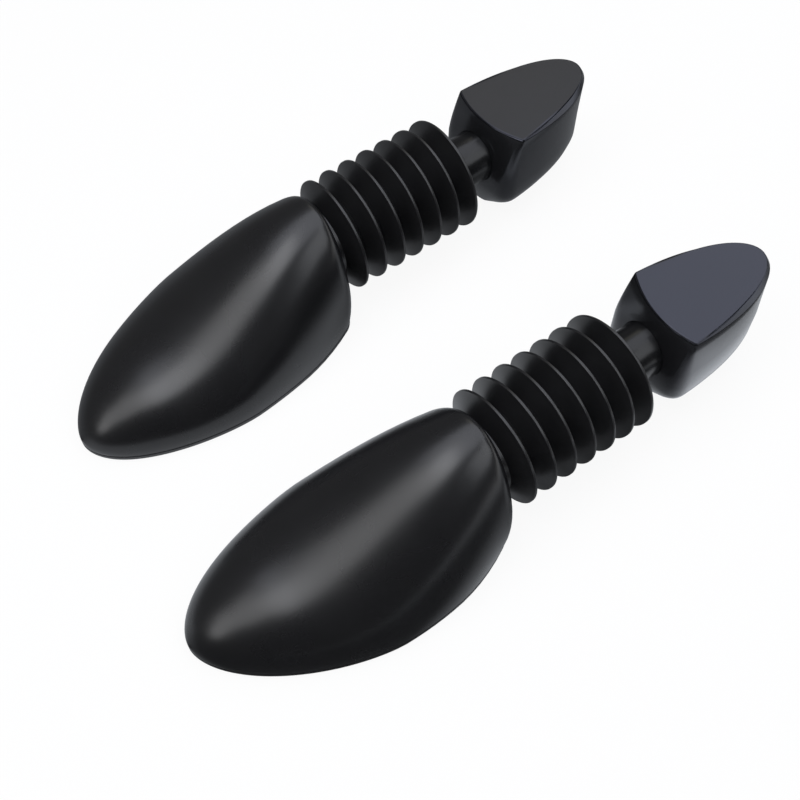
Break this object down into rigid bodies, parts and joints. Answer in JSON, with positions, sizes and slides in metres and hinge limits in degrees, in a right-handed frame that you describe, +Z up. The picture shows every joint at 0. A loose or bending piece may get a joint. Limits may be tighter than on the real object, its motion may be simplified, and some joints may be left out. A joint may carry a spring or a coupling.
{
  "type": "pair of shoe trees",
  "caption": "Pair of black plastic shoe trees: hollow last-shaped forefoot, pleated bellows over a coil spring, and a heel block on a sliding stem.",
  "frame": {"origin": "on the ground, at the centre of the footprint of the pair", "axes": "+Z up; +Y along both trees from toe to heel; the left tree is at +X and the right tree at -X"},
  "size_m": [0.2062, 0.299, 0.0599],
  "materials": {
    "forefoot_shell": "satin moulded black",
    "forefoot_sole": "moulded black",
    "inner_plastic": "moulded black",
    "bellows": "matt black",
    "spring_steel": "drawn wire",
    "stem": "satin black",
    "heel_shell": "glossy black",
    "heel_lid": "polished black"
  },
  "bodies": {
    "forefeet": {"left_forefoot_shell": "forefoot_shell", "left_forefoot_sole": "forefoot_sole", "left_front_collar": "inner_plastic", "left_guide_tube": "inner_plastic", "left_bellows": "bellows", "left_return_spring": "spring_steel", "right_forefoot_shell": "forefoot_shell", "right_forefoot_sole": "forefoot_sole", "right_front_collar": "inner_plastic", "right_guide_tube": "inner_plastic", "right_bellows": "bellows", "right_return_spring": "spring_steel"},
    "left_heel": {"left_heel_stem": "stem", "left_stop_ring": "inner_plastic", "left_stop_screw": "spring_steel", "left_rear_collar": "inner_plastic", "left_heel_pin": "spring_steel", "left_heel_shell": "heel_shell", "left_heel_lid": "heel_lid"},
    "right_heel": {"right_heel_stem": "stem", "right_stop_ring": "inner_plastic", "right_stop_screw": "spring_steel", "right_rear_collar": "inner_plastic", "right_heel_pin": "spring_steel", "right_heel_shell": "heel_shell", "right_heel_lid": "heel_lid"}
  },
  "joints": [
    {"name": "left_heel_slide", "type": "slide", "parent": "forefeet", "child": "left_heel", "axis": [0, -1, 0], "range_m": [0, 0.036], "stiffness_N_per_m": 500, "springref_m": -0.01, "deforming": ["left_bellows", "left_return_spring"]},
    {"name": "right_heel_slide", "type": "slide", "parent": "forefeet", "child": "right_heel", "axis": [0, -1, 0], "range_m": [0, 0.036], "stiffness_N_per_m": 500, "springref_m": -0.01, "deforming": ["right_bellows", "right_return_spring"]}
  ]
}
